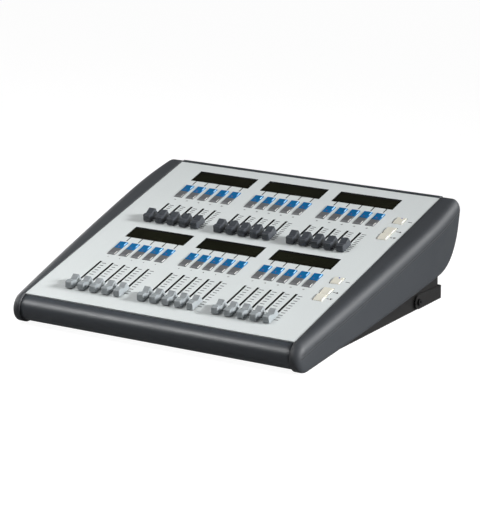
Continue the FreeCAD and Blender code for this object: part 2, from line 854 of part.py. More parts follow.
def cheeks():
    blank = cheek_blank("cheek", "0")
    inner = cheek_blank("cheek_inner", "groove_depth")

    # Two thin slabs parallel to the panel, kept only where they lie in the cheek's skin.
    slabs = []
    for number, drop in enumerate(("groove_first", "groove_second"), 1):
        slab = doc.addObject("Part::Box", f"groove_slab_{number}")
        tie(slab, Length="80", Width="430", Height="groove_width")
        on_panel(
            slab,
            "panel_width / 2 + groove_start",
            f"nose_y - ({drop}) * sin(panel_tilt) - 25",
            f"-({drop}) * cos(panel_tilt)",
        )
        slabs.append(slab)
    skin = doc.addObject("Part::Cut", "groove_tool")
    skin.Base = group("groove_slabs", slabs)
    skin.Tool = inner
    grooved = doc.addObject("Part::Cut", "cheek_grooved")
    grooved.Base = blank
    grooved.Tool = skin

    # The back of the cheek is hollow inside a solid rim, except for the screw bosses.
    core = side_prism(
        "cheek_core",
        [
            ("-70", "24"),
            ("240", "70"),
            ("252", "95"),
            ("240", "118"),
            ("-70", "34"),
        ],
        "cheek_hollow",
        x="panel_width / 2",
        midplane=False,
    )
    bosses = new_sketch(core, "YZ_Plane")
    for y, z in CHEEK_SCREWS[1:3]:
        circle(bosses, y, z, "screw_radius + 3")
    cut_through(core, bosses)
    hollowed = doc.addObject("Part::Cut", "cheek_hollowed")
    hollowed.Base = grooved
    hollowed.Tool = core

    drills = new_body("cheek_drills")
    chassis(drills, "panel_width / 2")
    holes = new_sketch(drills, "YZ_Plane")
    for y, z in CHEEK_SCREWS:
        circle(holes, y, z, "screw_radius")
    pad(drills, holes, "screw_depth + 1")

    right = doc.addObject("Part::Cut", "right_cheek")
    right.Base = hollowed
    right.Tool = drills
    left = doc.addObject("Part::Mirroring", "left_cheek")
    left.Source = right
    left.Normal = Vector(1, 0, 0)
    return [right, left]


def turned(label, centres, profile_radius, start, length):
    """Round pieces along X at each centre of the side outline, starting at start."""
    body = new_body(label)
    chassis(body, start)
    rounds = new_sketch(body, "YZ_Plane")
    for y, z in centres:
        circle(rounds, y, z, profile_radius)
    pad(body, rounds, length)
    return body


def mirrored_pair(label, right):
    """Groups a right-hand piece with its mirror image."""
    left = doc.addObject("Part::Mirroring", label + "_left")
    left.Source = right
    left.Normal = Vector(1, 0, 0)
    return group(label, [right, left])


def fused(label, shapes):
    whole = doc.addObject("Part::MultiFuse", label)
    whole.Shapes = shapes
    return whole


def cheek_screws():
    shank = turned(
        "cheek_screw_shank",
        CHEEK_SCREWS,
        "screw_radius",
        "panel_width / 2 - pan_wall",
        "screw_depth + pan_wall",
    )
    head = turned(
        "cheek_screw_head", CHEEK_SCREWS, "screw_head", "panel_width / 2 - pan_wall - 2.5", "2.5"
    )
    return mirrored_pair("cheek_screws", fused("cheek_screws_right", [shank, head]))


def pivot_screws():
    centre = [("pivot_y", "pivot_z")]
    grip = "washer_thickness + arm_thickness + 0.05"
    shank = turned(
        "pivot_shank",
        centre,
        "pivot_radius",
        "panel_width / 2 - pan_wall - 6",
        f"pan_wall + 6 + {grip}",
    )
    head = turned("pivot_screw_head", centre, "pivot_head", f"panel_width / 2 + {grip}", "2.6")
    nut = turned(
        "pivot_nut", centre, "pivot_head", "panel_width / 2 - pan_wall - 4", "4"
    )
    socket = turned("pivot_socket", centre, "1.6", f"panel_width / 2 + {grip} + 1", "3")
    solid = fused("pivot_screw_solid", [shank, head, nut])
    right = doc.addObject("Part::Cut", "pivot_screws_right")
    right.Base = solid
    right.Tool = socket
    return mirrored_pair("pivot_screws", right)


def pivot_washers():
    body = new_body("pivot_washer_right")
    chassis(body, "panel_width / 2")
    ring = new_sketch(body, "YZ_Plane")
    circle(ring, "pivot_y", "pivot_z", "washer_radius")
    circle(ring, "pivot_y", "pivot_z", "pivot_hole")
    pad(body, ring, "washer_thickness")
    return mirrored_pair("pivot_washers", body)


def back_stand():
    """A plate bent to a U: two arms that pivot on the pan's sides and a bar across the back."""
    span = "panel_width + 2 * washer_thickness + 2 * arm_thickness"
    arm_side = "pivot_z + arm_radius"
    body = side_prism(
        "back_stand",
        [
            ("pivot_y", arm_side),
            ("pivot_y", "pivot_z - arm_radius"),
            ("stand_rear", "pivot_z - arm_radius"),
            ("stand_rear", "stand_top"),
        ],
        span,
    )
    ends = new_sketch(body, "YZ_Plane")
    circle(ends, "pivot_y", "pivot_z", "arm_radius")
    pad(body, ends, span, midplane=True)
    middle = new_sketch(body, "XY_Plane")
    inner = "panel_width / 2 + washer_thickness"
    rectangle(middle, f"-({inner})", "pivot_y - 40", inner, "stand_rear - arm_thickness")
    cut_through(body, middle)
    bar_middle = value("(pivot_z - arm_radius + stand_top) / 2")
    corner = Vector(value(f"({span}) / 2"), value("stand_rear"), bar_middle)

    def outer_bend(edge):
        middle = edge.CenterOfMass
        return (Vector(abs(middle.x), middle.y, middle.z) - corner).Length < 0.01

    round_edges(body, "stand_bend", outer_bend)
    holes = new_sketch(body, "YZ_Plane")
    circle(holes, "pivot_y", "pivot_z", "pivot_hole")
    cut_through(body, holes)
    return body


def rubber_feet():
    body = new_body("rubber_feet")
    chassis(body)
    feet = new_sketch(body, "XY_Plane")
    for across in ("-foot_across", "foot_across"):
        for back in ("foot_front", "foot_back"):
            circle(feet, across, back, "foot_radius")
    pad(body, feet, "pan_bottom")
    return body


def control_board():
    body = new_body("control_board")
    move(body, y="datum_y", z="pan_bottom + pan_wall + standoff_height")
    board = new_sketch(body, "XY_Plane")
    rectangle(
        board,
        "-control_width / 2",
        "control_front",
        "control_width / 2",
        "control_front + control_length",
    )
    pad(body, board, "board_thickness")
    return body


def board_standoffs():
    body = new_body("board_standoffs")
    move(body, y="datum_y", z="pan_bottom + pan_wall")
    posts = new_sketch(body, "XY_Plane")
    for across in ("-control_width / 2 + 8", "control_width / 2 - 8"):
        for back in ("control_front + 8", "control_front + control_length - 8"):
            circle(posts, across, back, "standoff_radius")
    pad(body, posts, "standoff_height")
    return body


def rear_socket(label, draw_outer, draw_inner):
    """A socket that fills its opening in the rear wall, with a blind recess from the back."""
    body = new_body(label)
    move(body, y="datum_y + pan_rear")
    shell = new_sketch(body, "XZ_Plane")
    draw_outer(shell)
    pad(body, shell, "socket_depth")
    recess = new_sketch(body, "XZ_Plane")
    draw_inner(recess)
    pocket(body, recess, "socket_depth - 3", reverse=True)
    return body


def usb_socket():
    def opening(sketch, inset):
        rectangle(
            sketch,
            f"usb_across - usb_width / 2 + {inset}",
            f"socket_height - usb_height / 2 + {inset}",
            f"usb_across + usb_width / 2 - {inset}",
            f"socket_height + usb_height / 2 - {inset}",
        )

    return rear_socket("usb_socket", lambda s: opening(s, 0), lambda s: opening(s, 1.5))


def power_socket():
    def opening(sketch, radius):
        circle(sketch, "power_across", "socket_height", radius)

    return rear_socket(
        "power_socket",
        lambda s: opening(s, "power_radius"),
        lambda s: opening(s, "power_radius - 1.6"),
    )


parts = [
    top_panel(),
    display_part("display_windows", "-window_gap", "window_recess", "window_thickness"),
    display_part(
        "display_modules", "module_rim", "window_recess + window_thickness", "module_depth"
    ),
    *key_rows(),
    *page_keys(),
    *faders(),
    fader_tracks(),
    key_switches(),
    switch_boards(),
    front_rail(),
    base_pan(),
    rear_trim(),
    *cheeks(),
    cheek_screws(),
    pivot_screws(),
    pivot_washers(),
    back_stand(),
    rubber_feet(),
    control_board(),
    board_standoffs(),
    usb_socket(),
    power_socket(),
]
doc.recompute()

for obj in doc.Objects:
    if "Invalid" in obj.State or "Error" in obj.State:
        raise RuntimeError(f"{obj.Label} did not compute: {obj.State}")

os.makedirs("parts", exist_ok=True)
for part in parts:
    if part.Shape.isNull() or not part.Shape.isValid():
        raise RuntimeError(f"{part.Label} has no valid shape")
    part.Shape.exportStep(f"parts/{part.Label}.step")
    print(part.Label, len(part.Shape.Solids), round(part.Shape.Volume), part.Shape.BoundBox)
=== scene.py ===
import math

import bmesh
import bpy
from mathutils import Matrix, Vector


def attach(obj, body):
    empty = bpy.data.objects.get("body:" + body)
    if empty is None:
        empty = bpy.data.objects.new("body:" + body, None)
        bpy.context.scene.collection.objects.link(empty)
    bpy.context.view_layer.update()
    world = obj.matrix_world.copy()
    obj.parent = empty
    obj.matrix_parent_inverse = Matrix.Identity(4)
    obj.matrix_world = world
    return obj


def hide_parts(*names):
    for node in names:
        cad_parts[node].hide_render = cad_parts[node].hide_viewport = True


MM = 0.001

# Panel layout, in millimetres, from the same datum as the CAD part.
TILT = math.radians(15)
DATUM_Y = -82.1
DATUM_Z = 68.0
FIRST_COLUMN = -154.8
COLUMN_PITCH = 19.0
BANK_PITCH = 113.0
ROW_PITCH = 166.0
KEY_SHIFT = 2.0
BANKS = 3
COLUMNS = 5
DISPLAY_LEFT = 7.3
DISPLAY_WIDTH = 94.1
DISPLAY_START = 67.5
DISPLAY_LENGTH = 28.1

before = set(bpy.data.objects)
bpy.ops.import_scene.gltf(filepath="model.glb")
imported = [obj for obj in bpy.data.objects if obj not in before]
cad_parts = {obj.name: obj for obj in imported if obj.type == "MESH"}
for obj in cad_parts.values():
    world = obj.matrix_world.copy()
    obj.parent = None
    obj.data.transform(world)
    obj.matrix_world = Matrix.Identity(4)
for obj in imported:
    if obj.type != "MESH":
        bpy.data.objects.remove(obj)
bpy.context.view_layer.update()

PANEL = Matrix.Translation(Vector((0, DATUM_Y, DATUM_Z)) * MM) @ (
    Matrix.Rotation(TILT, 4, "X") @ Matrix.Scale(MM, 4)
)


def columns():
    """Gives (number from 0, X) of the fifteen fader columns."""
    for bank in range(BANKS):
        for column in range(COLUMNS):
            x = FIRST_COLUMN + bank * BANK_PITCH + column * COLUMN_PITCH
            yield bank * COLUMNS + column, x


# ---------------------------------------------------------------- materials


def srgb(r, g, b):
    """Turns display values 0 to 255 into linear light."""

    def one(c):
        c /= 255
        return c / 12.92 if c <= 0.04045 else ((c + 0.055) / 1.055) ** 2.4

    return (one(r), one(g), one(b), 1.0)


def shade(color, factor):
    """The same colour, lighter or darker."""
    return tuple(min(1.0, c * factor) for c in color[:3]) + (1.0,)


class Nodes:
    """A few shorthands for building one material's node tree."""

    def __init__(self, name):
        self.material = bpy.data.materials.new(name)
        self.material.use_nodes = True
        self.tree = self.material.node_tree
        self.bsdf = next(n for n in self.tree.nodes if n.type == "BSDF_PRINCIPLED")

    def add(self, kind, inputs=None, **settings):
        """Adds a node, sets its properties and feeds its inputs."""
        node = self.tree.nodes.new(kind)
        for key, setting in settings.items():
            setattr(node, key, setting)
        for key, given in (inputs or {}).items():
            self.feed(node.inputs[key], given)
        return node

    def feed(self, socket, given):
        """Links a socket to another one, or gives it a fixed value."""
        if hasattr(given, "links"):
            self.tree.links.new(given, socket)
        else:
            socket.default_value = given

    def noise(self, scale, detail=4.0, rough=0.5, stretch=(1, 1, 1)):
        """Noise over the object's own coordinates, 0 to 1."""
        place = self.add("ShaderNodeTexCoord")
        mapping = self.add(
            "ShaderNodeMapping", {"Vector": place.outputs["Object"], "Scale": stretch}
        )
        texture = self.add(
            "ShaderNodeTexNoise",
            {"Vector": mapping.outputs[0], "Scale": scale, "Detail": detail, "Roughness": rough},
        )
        return texture.outputs["Fac"]

    def ramp(self, given, low, high, start=0.0, stop=1.0):
        """Maps a 0 to 1 value onto low to high."""
        node = self.add(
            "ShaderNodeMapRange",
            {"Value": given, "From Min": start, "From Max": stop, "To Min": low, "To Max": high},
        )
        return node.outputs[0]

    def mix(self, factor, first, second):
        """Blends two colours."""
        node = self.add("ShaderNodeMix", data_type="RGBA")
        self.feed(node.inputs[0], factor)
        self.feed(node.inputs[6], first)
        self.feed(node.inputs[7], second)
        return node.outputs[2]

    def edges(self, radius, low=0.0, high=1.0):
        """1 on convex edges, 0 on open faces."""
        bevel = self.add("ShaderNodeBevel", {"Radius": radius}, samples=4)
        geometry = self.add("ShaderNodeNewGeometry")
        dot = self.add(
            "ShaderNodeVectorMath",
            {0: bevel.outputs[0], 1: geometry.outputs["Normal"]},
            operation="DOT_PRODUCT",
        )
        return self.ramp(dot.outputs["Value"], high, low, 0.75, 0.99)

    def rounded(self, radius):
        """A normal eased over the given radius, so faceted rounding shades smoothly."""
        return self.add("ShaderNodeBevel", {"Radius": radius}, samples=8).outputs[0]

    def bump(self, height, strength, distance=0.0002, normal=None):
        """A normal raised by the height value."""
        node = self.add(
            "ShaderNodeBump", {"Height": height, "Strength": strength, "Distance": distance}
        )
        if normal is not None:
            self.feed(node.inputs["Normal"], normal)
        return node.outputs[0]

    def finish(self, **inputs):
        """Feeds the surface shader and gives back the finished material."""
        names = {
            "color": "Base Color",
            "rough": "Roughness",
            "metal": "Metallic",
            "normal": "Normal",
            "coat": "Coat Weight",
            "coat_rough": "Coat Roughness",
            "spec": "Specular IOR Level",
            "glow": "Emission Color",
            "glow_strength": "Emission Strength",
        }
        for key, given in inputs.items():
            self.feed(self.bsdf.inputs[names[key]], given)
        return self.material


def moulded(
    name, color, rough, grain=900.0, grain_strength=0.12, tint=0.06, wear=1.15, coat=0.0, spec=0.5
):
    """Moulded plastic: a fine grain, slight colour drift and softly worn edges."""
    n = Nodes(name)
    drift = n.ramp(n.noise(14.0, 3.0), 0.0, 1.0, 0.3, 0.7)
    base = n.mix(drift, shade(color, 1 - tint), shade(color, 1 + tint))
    worn = n.mix(n.edges(0.0006, 0.0, 0.6), base, shade(color, wear))
    patches = n.ramp(n.noise(38.0, 5.0), rough * 0.88, rough * 1.12, 0.3, 0.7)
    grain_height = n.noise(grain, 2.0, 0.6)
    return n.finish(
        color=worn,
        rough=patches,
        normal=n.bump(grain_height, grain_strength),
        coat=coat,
        coat_rough=0.12,
        spec=spec,
    )


def painted(
    name, color, rough, peel=260.0, peel_strength=0.1, dust=0.05, wear=1.2, metal=0.0, ease=0.0
):
    """Powder coat over sheet metal: orange peel, fine speckle, a little dust and brighter edges."""
    n = Nodes(name)
    speckle = n.ramp(n.noise(1500.0, 2.0, 0.7), 0.0, 1.0, 0.35, 0.65)
    base = n.mix(speckle, shade(color, 0.965), shade(color, 1.035))
    cloud = n.ramp(n.noise(7.0, 5.0), 0.0, dust, 0.35, 0.75)
    dusty = n.mix(cloud, base, shade(color, 0.88))
    worn = n.mix(n.edges(0.0004, 0.0, 0.5), dusty, shade(color, wear))
    patches = n.ramp(n.noise(24.0, 6.0), rough * 0.9, rough * 1.1, 0.3, 0.7)
    under = n.rounded(ease) if ease else None
    height = n.noise(peel, 3.0)
    return n.finish(
        color=worn, rough=patches, normal=n.bump(height, peel_strength, normal=under), metal=metal
    )


def brushed(name, color, rough, stretch=(1, 40, 40)):
    """Brushed or drawn steel."""
    n = Nodes(name)
    lines = n.noise(60.0, 6.0, 0.7, stretch)
    base = n.mix(n.ramp(lines, 0.0, 1.0, 0.3, 0.7), shade(color, 0.85), shade(color, 1.1))
    return n.finish(
        color=base,
        rough=n.ramp(lines, rough * 0.8, rough * 1.25, 0.3, 0.7),
        metal=1.0,
        normal=n.bump(lines, 0.15, 0.0001),
    )


def printed(name, color):
    """Screen printed ink: slightly broken, matt."""
    n = Nodes(name)
    breaks = n.ramp(n.noise(2500.0, 2.0), 0.0, 1.0, 0.35, 0.6)
    return n.finish(color=n.mix(breaks, shade(color, 1.2), color), rough=0.6, spec=0.1)


def smoked_window(name):
    """Dark acrylic over a display: olive black, polished, with the pixel rows just showing."""
    n = Nodes(name)
    place = n.add("ShaderNodeTexCoord")
    rows = n.add(
        "ShaderNodeTexWave",
        {"Vector": place.outputs["Object"], "Scale": 190.0, "Distortion": 0.0},
        bands_direction="X",
    )
    cloud = n.ramp(n.noise(30.0, 4.0), 0.0, 1.0, 0.35, 0.7)
    dark = n.mix(cloud, srgb(16, 17, 9), srgb(24, 25, 15))
    lined = n.mix(n.ramp(rows.outputs["Fac"], 0.0, 0.25, 0.4, 1.0), dark, srgb(30, 30, 20))
    smear = n.ramp(n.noise(18.0, 5.0), 0.08, 0.2, 0.35, 0.75)
    return n.finish(color=lined, rough=smear, spec=0.04)


def circuit_board(name):
    """Solder mask with traces under it."""
    n = Nodes(name)
    place = n.add("ShaderNodeTexCoord")
    traces = n.add(
        "ShaderNodeTexVoronoi",
        {"Vector": place.outputs["Object"], "Scale": 160.0},
        distance="CHEBYCHEV",
        feature="DISTANCE_TO_EDGE",
    )
    lines = n.ramp(traces.outputs["Distance"], 1.0, 0.0, 0.0, 0.06)
    base = n.mix(lines, srgb(14, 82, 44), srgb(38, 120, 66))
    return n.finish(color=base, rough=0.35, coat=0.3, normal=n.bump(lines, 0.2))


def lens(name, color, glow, strength):
    """Clear coloured plastic over a small lamp."""
    n = Nodes(name)
    core = n.ramp(n.noise(900.0, 1.0), 0.85, 1.1, 0.3, 0.7)
    tint = n.mix(core, shade(color, 0.8), color)
    return n.finish(color=tint, rough=0.18, coat=0.6, glow=glow, glow_strength=strength)


def cheek_paint(name):
    """Soft-touch painted moulding: satin slate with a fine texture, and painted shade in its grooves.
    """
    n = Nodes(name)
    color = srgb(50, 53, 57)
    drift = n.ramp(n.noise(6.0, 4.0), 0.0, 1.0, 0.3, 0.7)
    base = n.mix(drift, shade(color, 0.95), shade(color, 1.05))
    speckle = n.ramp(n.noise(2200.0, 2.0, 0.7), 0.0, 1.0, 0.35, 0.65)
    base = n.mix(speckle, base, shade(color, 1.08))
    scuffs = n.ramp(n.noise(90.0, 8.0, 0.75, (1, 0.2, 1)), 0.0, 0.35, 0.62, 0.8)
    base = n.mix(scuffs, base, shade(color, 1.25))
    patches = n.ramp(n.noise(16.0, 6.0), 0.48, 0.56, 0.3, 0.7)
    grain = n.noise(1400.0, 3.0, 0.6)
    # Painted shade: ambient occlusion darkens the grooves and creases towards a quarter of the paint's
    # colour.
    groove_shade = n.add("ShaderNodeAmbientOcclusion", {"Distance": 0.002}, samples=8)
    base = n.mix(n.ramp(groove_shade.outputs["AO"], 1.0, 0.0, 0.55, 0.95), base, shade(color, 0.25))
    return n.finish(
        color=base, rough=patches, normal=n.bump(grain, 0.16, 0.00015, n.rounded(0.008)), spec=0.4
    )


MATERIALS = {
    "panel": painted("panel_powder_coat", srgb(206, 211, 211), 0.5, dust=0.12),
    "cheek": cheek_paint("cheek_soft_touch"),
    "rail": painted("rail_satin_paint", srgb(52, 57, 63), 0.38, peel=420.0, ease=0.01),
    "black": painted("pan_black_paint", srgb(13, 12, 12), 0.5, dust=0.3, wear=1.6),
    "blue": moulded("key_blue_plastic", srgb(0, 93, 146), 0.5, grain_strength=0.06, spec=0.12),
    "grey": moulded("key_grey_plastic", srgb(92, 93, 95), 0.5, grain_strength=0.06, spec=0.25),
    # Painted highlight: a lighter copy of the grey key plastic for the keys' front slopes.
    "grey_slope_highlight": moulded("key_grey_front", srgb(108, 110, 112), 0.45, grain_strength=0.06),
    "cream": moulded("key_cream_plastic", srgb(216, 213, 200), 0.34, wear=1.05, coat=0.2),
    "silver": moulded("cap_silver_plastic", srgb(142, 148, 151), 0.34, coat=0.3),
    "charcoal": moulded("cap_charcoal_plastic", srgb(56, 60, 66), 0.42),
    # Painted shade: black for the panel's cut edges and underside.
    "panel_cut_shade": painted("panel_cut_edge_painted_shade", srgb(14, 14, 13), 0.7),
    "window": smoked_window("window_smoked_acrylic"),
    # Flat black for print, display masks and the painted shade strips beside the slots and along the
    # display openings.
    "mask": printed("black_print_and_painted_shade", srgb(5, 5, 4)),
    "ink": printed("panel_ink", srgb(26, 26, 27)),
    "ink_light": printed("panel_ink_light", srgb(44, 46, 49)),
    "board": circuit_board("board_solder_mask"),
    "part_black": moulded("component_black", srgb(22, 22, 23), 0.5),
    "rubber": moulded("foot_rubber", srgb(24, 24, 24), 0.8, grain=600.0, grain_strength=0.3),
    "steel": brushed("zinc_plate", (0.55, 0.55, 0.53, 1.0), 0.35),
    "screw": painted("screw_black_oxide", srgb(34, 34, 35), 0.35, metal=0.6),
    "red_lens": lens("lens_red", srgb(150, 24, 40), (0.5, 0.02, 0.05, 1.0), 0.15),
    "blue_lens": lens("lens_blue", srgb(40, 66, 150), (0.02, 0.06, 0.6, 1.0), 0.3),
    "pipe": lens("light_pipe", srgb(216, 217, 214), (0.5, 0.5, 0.5, 1.0), 0.1),
    "page_pipe": lens("light_pipe_page", srgb(238, 238, 234), (0.9, 0.9, 0.9, 1.0), 0.25),
    # Painted highlight: pale glowing bars on the blue keys' right edges.
    "blue_edge_highlight": lens("blue_key_painted_highlight", srgb(140, 196, 236), (0.25, 0.6, 1.0, 1.0), 0.08),
}

CAD_FINISH = {
    "top_panel": "panel",
    "display_windows": "window",
    "display_modules": "part_black",
    "fader_bodies": "part_black",
    "key_switches": "part_black",
    "switch_boards": "board",
    "control_board": "board",
    "front_rail": "rail",
    "rear_trim": "rail",
    "base_pan": "black",
    "back_stand": "black",
    "right_cheek": "cheek",
    "left_cheek": "cheek",
    "cheek_screws": "steel",
    "pivot_screws": "screw",
    "pivot_washers": "steel",
    "rubber_feet": "rubber",
    "board_standoffs": "steel",
    "usb_socket": "steel",
    "power_socket": "part_black",
}


def dress(obj, finish):
    """Gives every face of a CAD body one material."""
    obj.data.materials.clear()
    obj.data.materials.append(MATERIALS[finish])
    for polygon in obj.data.polygons:
        polygon.material_index = 0


# ---------------------------------------------------------------- pieces


def soften(obj, width_mm, segments=2, angle=30.0):
    """Rounds the edges that are sharper than the angle, in degrees."""
    bevel = obj.modifiers.new("soften", "BEVEL")
    bevel.width = width_mm * MM
    bevel.segments = segments
    bevel.limit_method = "ANGLE"
    bevel.angle_limit = math.radians(angle)
    bevel.harden_normals = True
    obj.data.shade_smooth()


def add_piece(name, mesh, finishes, body, stands_for=()):
    """Puts a mesh in the scene, riding on a CAD body and standing for the CAD nodes it covers."""
    obj = bpy.data.objects.new(name, mesh)
    bpy.context.scene.collection.objects.link(obj)
    if not mesh.materials:
        for finish in finishes:
            mesh.materials.append(MATERIALS[finish])
    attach(obj, body)
    if stands_for:
        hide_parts(*stands_for)
    return obj


def to_mesh(name, bm, place):
    """Turns panel millimetres into a mesh in metres, through the place matrix."""
    bm.transform(place)
    bmesh.ops.recalc_face_normals(bm, faces=bm.faces)
    mesh = bpy.data.meshes.new(name)
    bm.to_mesh(mesh)
    bm.free()
    return mesh


def box(bm, low, high, material=0):
    """Adds a box between two corners."""
    made = bmesh.ops.create_cube(bm, size=1.0)["verts"]
    low, high = Vector(low), Vector(high)
    for vert in made:
        vert.co = Vector(lo + (hi - lo) * (c + 0.5) for lo, hi, c in zip(low, high, vert.co))
    for face in {f for v in made for f in v.link_faces}:
        face.material_index = material


def prism(bm, profile, half_width, origin=(0, 0, 0), material=0):
    """Adds a closed side profile of (v, w) points, drawn out both ways along X.

    half_width(w) gives the half width at height w.
    """
    x, forward, up = origin
    sides = []
    for sign in (-1, 1):
        spots = [(x + sign * half_width(w), forward + v, up + w) for v, w in profile]
        sides.append([bm.verts.new(spot) for spot in spots])
    count = len(profile)
    faces = [bm.faces.new(sides[0]), bm.faces.new(list(reversed(sides[1])))]
    for i in range(count):
        j = (i + 1) % count
        faces.append(bm.faces.new((sides[0][i], sides[0][j], sides[1][j], sides[1][i])))
    for face in faces:
        face.material_index = material


def curve_between(start, stop, sag, steps):
    """Points between two (v, w) ends along a shallow arc, sagging downward by sag."""
    points = []
    for i in range(1, steps):
        t = i / steps
        v = start[0] + (stop[0] - start[0]) * t
        w = start[1] + (stop[1] - start[1]) * t - sag * 4 * t * (1 - t)
        points.append((v, w))
    return points


# Keys


KEY_WIDTH = 12.3
KEY_SKIRT = -3.5
STEM_HALF = 1.8
STEM_FOOT = -7.0
BLUE_START = 36.5
BLUE_LENGTH = 16.4
GREY_START = 19.5
GREY_LENGTH = 16.7
PIPE_LEFT = 4.7
BLUE_EDGE_HIGHLIGHT = (7.6, 0.4, 1.3, 7.6, 1.4)
GREY_PIPE = (1.4, -0.4, 1.1, 7.0, 1.6)
GREY_SLOPE = ((0.4, -0.4), (0.4, 0.24), (4.0, 0.92), (4.0, 0.4))
GREY_SLOPE_INSET = 0.4
LENS_SPOT = (-0.8, 4.5, 0.85)
LENS_RADIUS = 0.8
LENS_FLATNESS = 0.4
ROWS = {"lower": 0.0, "upper": ROW_PITCH}


def key_profile(length, front, crest_front, crest_back, back, sag):
    """Side view of a key: front wall, dished or crowned top, back wall."""
    top = [crest_front] + curve_between(crest_front, crest_back, sag, 10) + [crest_back]
    return [(0, KEY_SKIRT), (0, front)] + top + [(length, back), (length, KEY_SKIRT)]


def stem(bm, x, v):
    """The square stem under a key."""
    box(bm, (x - STEM_HALF, v - STEM_HALF, STEM_FOOT), (x + STEM_HALF, v + STEM_HALF, KEY_SKIRT))


def key_row(colour, place, start, length, profile):
    """Fifteen playback keys of one colour, which press together."""
    bm = bmesh.new()
    row = ROWS[place]
    for _, x in columns():
        prism(bm, profile, lambda w: KEY_WIDTH / 2, (x + KEY_SHIFT, row + start, 0))
        stem(bm, x + KEY_SHIFT, row + start + length / 2)
    node = f"{colour}_buttons_{place}"
    mesh = to_mesh(node + "_caps", bm, PANEL)
    keys = add_piece(node + "_caps", mesh, [colour], node, [node])
    soften(keys, 0.45, 3)


BLUE = key_profile(BLUE_LENGTH, 0.5, (0.8, 1.1), (BLUE_LENGTH - 0.8, 1.7), 0.9, 0.5)
GREY = key_profile(GREY_LENGTH, 0.1, (4.2, 0.9), (GREY_LENGTH - 0.6, 1.2), 0.7, 0.2)
for place in ROWS:
    key_row("blue", place, BLUE_START, BLUE_LENGTH, BLUE)
    key_row("grey", place, GREY_START, GREY_LENGTH, GREY)


def lens_dome(bm, x, v, w, radius):
    """A low round lens."""
    made = bmesh.ops.create_uvsphere(bm, u_segments=12, v_segments=6, radius=1.0)["verts"]
    stretch = (radius, radius, radius * LENS_FLATNESS)
    for vert in made:
        vert.co = Vector((x, v, w)) + Vector(c * r for c, r in zip(vert.co, stretch))
    for face in {f for v in made for f in v.link_faces}:
        face.smooth = True


def key_lenses(place):
    """A small red lens set in each blue key."""
    bm = bmesh.new()
    across, along, up = LENS_SPOT
    for _, x in columns():
        lens_dome(bm, x + KEY_SHIFT + across, ROWS[place] + BLUE_START + along, up, LENS_RADIUS)
    name = f"blue_key_lenses_{place}"
    add_piece(name, to_mesh(name, bm, PANEL), ["red_lens"], f"blue_buttons_{place}")


def light_pipe(bm, x, start, pipe):
    """A bar along the right edge of a key, from its front, foot, width, length and height; on the blue
    keys it is a painted highlight.
    """
    front, foot, width, length, height = pipe
    left = x + KEY_SHIFT + PIPE_LEFT
    box(bm, (left, start + front, foot), (left + width, start + front + length, foot + height))


def blue_edge_highlights(place):
    """Painted highlight: a pale blue, faintly glowing bar along the back right edge of each blue key,
    for the edge lit from the right.
    """
    bm = bmesh.new()
    for _, x in columns():
        light_pipe(bm, x, ROWS[place] + BLUE_START, BLUE_EDGE_HIGHLIGHT)
    name = f"blue_key_edge_highlights_{place}"
    pipes = add_piece(name, to_mesh(name, bm, PANEL), ["blue_edge_highlight"], f"blue_buttons_{place}")
    soften(pipes, 0.25, 2)


def grey_light_pipes(place):
    """A pale light pipe in the front right of each grey key, and a lighter copy of the grey plastic on
    the key's front slope as a painted highlight.
    """
    bm = bmesh.new()
    for _, x in columns():
        start = ROWS[place] + GREY_START
        light_pipe(bm, x, start, GREY_PIPE)
        reach = KEY_WIDTH / 2 - GREY_SLOPE_INSET
        prism(bm, GREY_SLOPE, lambda w: reach, (x + KEY_SHIFT, start, 0), 1)
    name = f"grey_key_light_pipes_{place}"
    mesh = to_mesh(name, bm, PANEL)
    pipes = add_piece(name, mesh, ["pipe", "grey_slope_highlight"], f"grey_buttons_{place}")
    soften(pipes, 0.2, 2)


for place in ROWS:
    key_lenses(place)
    blue_edge_highlights(place)
    grey_light_pipes(place)


# Page keys


PAGE_LENGTH = 16.3
PAGE_WIDTH = 13.5
PAGE_COLUMN = 180.45
PAGE_LEAN = 0.3
PAGE_STEM = 8.1
PAGE_STARTS = {"top": 37.0, "middle": 9.8, "bottom": -6.6}
PAGE_STEP = {"lower": (0.0, 0.0), "upper": (2.0, 163.5)}
PAGE = key_profile(PAGE_LENGTH, 0.1, (0.7, 0.6), (PAGE_LENGTH - 1.6, 1.5), -0.6, -0.3)
PAGE_BAR = ((1.2, -0.2), (8.8, -0.2), (8.8, 1.7), (1.2, 1.15))
PAGE_BAR_OFFSET = 6.2
PAGE_BAR_HALF = 0.7
PAGE_LENS_SPOT = (1.0, PAGE_LENGTH - 3.2, 1.6)
PAGE_LENS_RADIUS = 1.0


def page_key(place, name):
    """A cream key with a white light pipe along its right edge, and a blue lens on the top one."""
    across, along = PAGE_STEP[place]
    x = PAGE_COLUMN + across
    v = PAGE_STARTS[name] + along
    node = f"page_key_{place}_{name}"

    bm = bmesh.new()
    prism(bm, PAGE, lambda w: PAGE_WIDTH / 2, (x + PAGE_LEAN, v, 0))
    stem(bm, x, v + PAGE_STEM)
    mesh = to_mesh(node + "_cap", bm, PANEL)
    key = add_piece(node + "_cap", mesh, ["cream"], node, [node])
    soften(key, 0.4, 3)

    bm = bmesh.new()
    prism(bm, PAGE_BAR, lambda w: PAGE_BAR_HALF, (x + PAGE_BAR_OFFSET, v, 0))
    mesh = to_mesh(node + "_light_pipe", bm, PANEL)
    bar = add_piece(node + "_light_pipe", mesh, ["page_pipe"], node)
    soften(bar, 0.2, 2)

    if name == "top":
        bm = bmesh.new()
        right, back, up = PAGE_LENS_SPOT
        lens_dome(bm, x + right, v + back, up, PAGE_LENS_RADIUS)
        mesh = to_mesh(node + "_lens", bm, PANEL)
        add_piece(node + "_lens", mesh, ["blue_lens"], node)


for place in PAGE_STEP:
    for name in PAGE_STARTS:
        page_key(place, name)


# Fader caps


